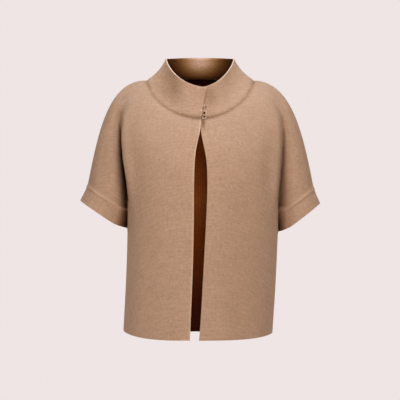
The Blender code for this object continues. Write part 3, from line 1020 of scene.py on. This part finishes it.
outside = new_knit("camel_knit", CAMEL)
inside = new_knit("camel_inside", SHADED_RED_BROWN, inside_shadow)
collar_inside = new_knit("camel_collar_inside", SHADED_CAMEL, neck_shadow)
edge = new_knit("camel_edge", HIGHLIGHT_CAMEL, shaded_in_seams=True)
for node, sheet in sheets.items():
    sheet.data.materials.clear()
    for material in (outside, collar_inside if node == "collar" else inside, edge):
        sheet.data.materials.append(material)

# %% [markdown]
# ## The fastener
# A wire hook and eye close the collar, and they stay fastened. Both come from the solids
# as they are, and only get a material. The wire is wrapped in dark brown thread, so it
# hardly shines, and its roughness wanders a little.

# %% Colour the wire
DARK_BROWN = (0.10, 0.032, 0.008)
LEAST_ROUGH, MORE_ROUGH = 0.42, 0.25
WRAP_SCALE = 900.0
FIBRE_SHINE = 0.1

wire, wire_shader = new_material("dark_wire", DARK_BROWN, LEAST_ROUGH, shine=FIBRE_SHINE)
tree = wire.node_tree
turns = {"Vector": place_of(tree), "Scale": WRAP_SCALE, "Detail": 2.0}
wrap = add(tree, "ShaderNodeTexNoise", turns).outputs[0]
wrap_roughness = calc(tree, "MULTIPLY_ADD", wrap, MORE_ROUGH, LEAST_ROUGH)
tree.links.new(wrap_roughness, wire_shader.inputs["Roughness"])
for node in ("hook", "eye"):
    frame["nodes"][node].data.materials.clear()
    frame["nodes"][node].data.materials.append(wire)
    print(node, "is wrapped in dark thread")

# %% [markdown]
# ### Places on the cloth
# The sewing lies on cloth that slopes and curves. Its stitches are named by their place
# as seen from the front, and a ray that is shot from there finds the cloth. Two more rays
# above and below tell how steep it is, and a matrix then holds the place and the tilt.

# %% Find places on the cloth
SLOPE_STEP = 0.004
cloth_trees = [tree_of(sheet) for sheet in sheets.values()]


def surface(x, z):
    """Where a line from the front meets the cloth."""
    start = Vector((x, -1, z))
    hits = [tree.ray_cast(start, Vector((0, 1, 0)))[0] for tree in cloth_trees]
    return min((hit for hit in hits if hit), key=lambda hit: hit.y)


def placed(x, z, slant):
    """Lays things that are made in the XZ plane onto the cloth."""
    here = surface(x, z)
    down = surface(x, z - SLOPE_STEP) - surface(x, z + SLOPE_STEP)
    tilt = Matrix.Rotation(math.atan2(down.y, -down.z), 4, "X")
    return Matrix.Translation(here) @ tilt @ Matrix.Rotation(slant, 4, "Y")


print(len(cloth_trees), "sheets to sew on")

# %% [markdown]
# ### Thread
# The eye's two rings are sewn down with buttonhole stitches, which make a raised oval of
# pale thread round each dark hole. A few pick stitches hold the hook's side. Each stitch
# is a small ball that is stretched along its length, because thread bulges in its middle
# and dives into the cloth at its ends. The holes are such balls too, dark and half sunk:
# painted shade in the rings, where the dark wire also shows. Two thin dark balls are
# painted shadows beside the long pick stitch.

# %% Sew the fastener on
Loop = namedtuple("Loop", "x z half_width half_height slant")
Stitch = namedtuple("Stitch", "x z length turn radius", defaults=[0.0010])
LOOPS = (Loop(0.0110, -0.0852, 0.0034, 0.0058, 0.20), Loop(0.0094, -0.0950, 0.0030, 0.0034, 0.35))
PICKS = (
    Stitch(0.0105, -0.0680, 0.0080, 1.50),
    Stitch(0.0040, -0.0790, 0.0050, 1.35),
    Stitch(0.0008, -0.0765, 0.0018, 0.60, 0.0006),
    Stitch(0.0008, -0.0908, 0.0018, -0.50, 0.0006),
    Stitch(0.0130, -0.0965, 0.0050, 0.50),
    Stitch(0.0060, -0.0990, 0.0045, -0.20),
)
# painted shade: dark balls in the rings' holes, where the dark wire also shows, and painted shadows
# beside the long pick stitch
HOLLOWS = (
    Stitch(0.0106, -0.0852, 0.0074, 1.37, 0.0014),
    Stitch(0.0090, -0.0945, 0.0048, 1.10, 0.0014),
    Stitch(0.0140, -0.0715, 0.0080, 1.80, 0.0007),
    Stitch(0.0070, -0.0745, 0.0080, 1.45, 0.0007),
)
THREAD = 0.0009
STITCHES_ROUND = 18
STITCH_LENGTH = 0.0020
HOLLOW_OUT = Matrix.Translation((0, -0.0007, 0))  # the dark holes lie just in front
FIBRE_SCALE, FIBRE_HEIGHT = 2200.0, 0.0002
BALL_SIDES, BALL_RINGS = 10, 8
PALE_THREAD = (0.80, 0.58, 0.42)
# painted shade, together with the dark wire in the holes
SHADE_BROWN = (0.085, 0.024, 0.004)


def add_stitch(shape, where, length, radius):
    ball = where @ Matrix.Diagonal((length / 2, radius, radius, 1))
    bmesh.ops.create_uvsphere(
        shape, u_segments=BALL_SIDES, v_segments=BALL_RINGS, radius=1, matrix=ball
    )


def thread_piece(name, shape, colour):
    mesh = bpy.data.meshes.new(name)
    shape.to_mesh(mesh)
    shape.free()
    mesh.shade_smooth()
    piece = new_piece(name, mesh)
    made, shader = new_material(name, colour, ROUGH, shine=FIBRE_SHINE)
    tree = made.node_tree
    fibre = {"Vector": place_of(tree), "Scale": FIBRE_SCALE, "Detail": 2.0}
    fibres = add(tree, "ShaderNodeTexNoise", fibre).outputs[0]
    raise_surface(tree, shader, fibres, FIBRE_HEIGHT)
    mesh.materials.append(made)
    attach(piece, "root")
    print(name, "faces:", len(mesh.polygons))


thread = bmesh.new()
for loop in LOOPS:
    where = placed(loop.x, loop.z, loop.slant)
    for number in range(STITCHES_ROUND):
        turn = math.tau * number / STITCHES_ROUND
        out = Vector((loop.half_width * math.cos(turn), 0, loop.half_height * math.sin(turn)))
        along = Matrix.Translation(out) @ Matrix.Rotation(-turn, 4, "Y")
        add_stitch(thread, where @ along, STITCH_LENGTH, THREAD)
for pick in PICKS:
    add_stitch(thread, placed(pick.x, pick.z, -pick.turn), pick.length, pick.radius)
thread_piece("fastener_thread", thread, PALE_THREAD)

hollows = bmesh.new()
for hollow in HOLLOWS:
    where = HOLLOW_OUT @ placed(hollow.x, hollow.z, -hollow.turn)
    add_stitch(hollows, where, hollow.length, hollow.radius)
thread_piece("fastener_hollows", hollows, SHADE_BROWN)

# %% [markdown]
# ## The studio's air
# A pale paper surrounds the garment. The camera sees the world in the colour of that paper,
# but only a little light comes from it, or the folds would fill up. A Light Path node tells
# the two apart. The Standard view keeps the colours as they are.

# %% Fill the air
PAPER = (0.863, 0.783, 0.776)
AIR_LIGHT = 0.14
scene.view_settings.view_transform = "Standard"
world = bpy.data.worlds.new("studio_air")
scene.world = world
world.use_nodes = True
air = world.node_tree
background = air.nodes["Background"]
background.inputs["Color"].default_value = (*PAPER, 1)
background.inputs["Strength"].default_value = AIR_LIGHT
seen = add(air, "ShaderNodeBackground", {"Color": (*PAPER, 1), "Strength": 1.0})
path = add(air, "ShaderNodeLightPath")
blend = add(
    air,
    "ShaderNodeMixShader",
    {0: path.outputs["Is Camera Ray"], 1: background.outputs[0], 2: seen.outputs[0]},
)
air.links.new(blend.outputs[0], air.nodes["World Output"].inputs["Surface"])
print("the air gives", AIR_LIGHT, "of the light that the camera sees")

# %% [markdown]
# ## Soft lights
# Round softboxes light the cloth evenly from the front and from both its sides. A small one
# near the top draws out the collar and the shoulders, a cooler one overhead lights the
# upper edges, and two light the back. Each row tells where a softbox stands, what it points
# at, its size, its power in watts and its colour.

# %% Set up the lights
Softbox = namedtuple("Softbox", "name place target size power colour", defaults=[(1, 1, 1)])
SOFTBOXES = (
    Softbox("front", (0.15, -3.2, 0.15), (0, 0, -0.3), 0.5, 15),
    Softbox("front_right", (-2.0, -2.3, 0.3), (0, 0, -0.3), 1.2, 23),
    Softbox("front_left", (2.0, -2.3, 0.3), (0, 0, -0.3), 1.2, 21.5),
    Softbox("near_top", (0.1, -1.0, 0.9), (0, 0, -0.15), 0.6, 9),
    Softbox("overhead", (0.0, -0.1, 2.6), (0, 0, -0.25), 1.0, 38, (0.75, 1.0, 1.4)),
    Softbox("back_right", (-1.8, 2.4, 0.6), (0, 0, -0.3), 1.2, 30),
    Softbox("back_left", (1.8, 2.4, 0.6), (0, 0, -0.3), 1.2, 30),
)

for softbox in SOFTBOXES:
    light = bpy.data.lights.new(softbox.name, "AREA")
    light.shape = "DISK"
    light.size = softbox.size
    light.energy = softbox.power
    light.color = softbox.colour
    lamp = new_piece(softbox.name, light)
    lamp.location = softbox.place
    aim = Vector(softbox.target) - Vector(softbox.place)
    lamp.rotation_euler = aim.to_track_quat("-Z", "Y").to_euler()
    print(softbox.name, "is", round(aim.length, 2), "m away")

# %% [markdown]
# ## The floor
# The garment floats well above a round floor of the same pale paper, far enough down that
# the camera doesn't see it and no shadow shows. It still throws some light back up.

# %% Lay the floor
FLOOR_Z = -1.36
FLOOR_RADIUS = 2.9
FLOOR_SIDES = 96
PAPER_ROUGH = 0.9

floor = bmesh.new()
bmesh.ops.create_circle(floor, cap_ends=True, segments=FLOOR_SIDES, radius=FLOOR_RADIUS)
bmesh.ops.translate(floor, verts=floor.verts, vec=(0, 0, FLOOR_Z))
floor_mesh = bpy.data.meshes.new("floor")
floor.to_mesh(floor_mesh)
floor.free()
floor_piece = new_piece("floor", floor_mesh)
paper, _ = new_material("floor_paper", PAPER, PAPER_ROUGH)
floor_mesh.materials.append(paper)
print("floor:", FLOOR_Z, "m")
